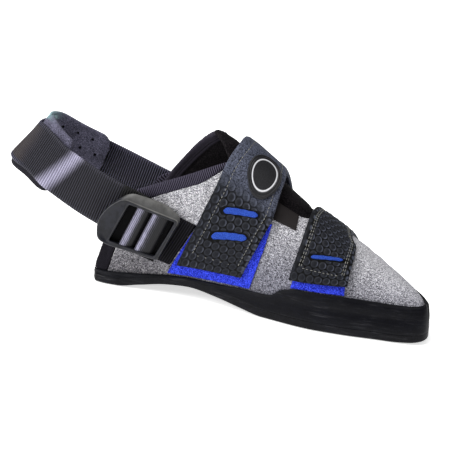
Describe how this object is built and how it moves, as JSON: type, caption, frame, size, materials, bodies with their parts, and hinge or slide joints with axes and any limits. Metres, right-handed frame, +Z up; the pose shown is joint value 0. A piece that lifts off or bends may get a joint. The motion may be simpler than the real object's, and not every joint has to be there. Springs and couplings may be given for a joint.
{
  "type": "climbing shoe",
  "caption": "Open-backed climbing shoe: grey felt upper with rubber sole and rand, hook-and-loop straps over the instep and forefoot, and a padded webbing loop with a buckle behind the heel.",
  "frame": {"origin": "on the floor under the ball of the foot, on the sole's middle line", "axes": "+X towards the toe, +Y towards the outer side of the foot, +Z up"},
  "size_m": [0.2884, 0.0853, 0.101],
  "materials": {
    "black_rubber": "semi-matt black rubber",
    "grey_felt": "mottled grey felt",
    "black_tape": "ribbed black tape",
    "black_lining": "matt black lining",
    "blue_loop": "blue loop pile",
    "embossed_strap": "black synthetic leather, embossed",
    "badge_rubber": "plain moulded rubber",
    "black_webbing": "ribbed nylon webbing",
    "grey_foam": "perforated foam-backed cloth",
    "black_plastic": "satin moulded plastic",
    "insole_board": "dark board covered in cloth"
  },
  "bodies": {
    "root": {"outsole": "black_rubber", "insole": "insole_board", "upper": "grey_felt", "rand": "black_rubber", "inner_collar_binding": "black_tape", "outer_collar_binding": "black_tape", "tongue": "black_lining", "instep_loop_panel": "blue_loop", "forefoot_loop_panel": "blue_loop", "instep_strap": "embossed_strap", "forefoot_strap": "embossed_strap", "badge": "badge_rubber", "size_label": "black_tape", "heel_webbing": "black_webbing", "heel_pad": "grey_foam", "buckle_anchor": "black_webbing", "buckle": "black_plastic"}
  },
  "joints": []
}
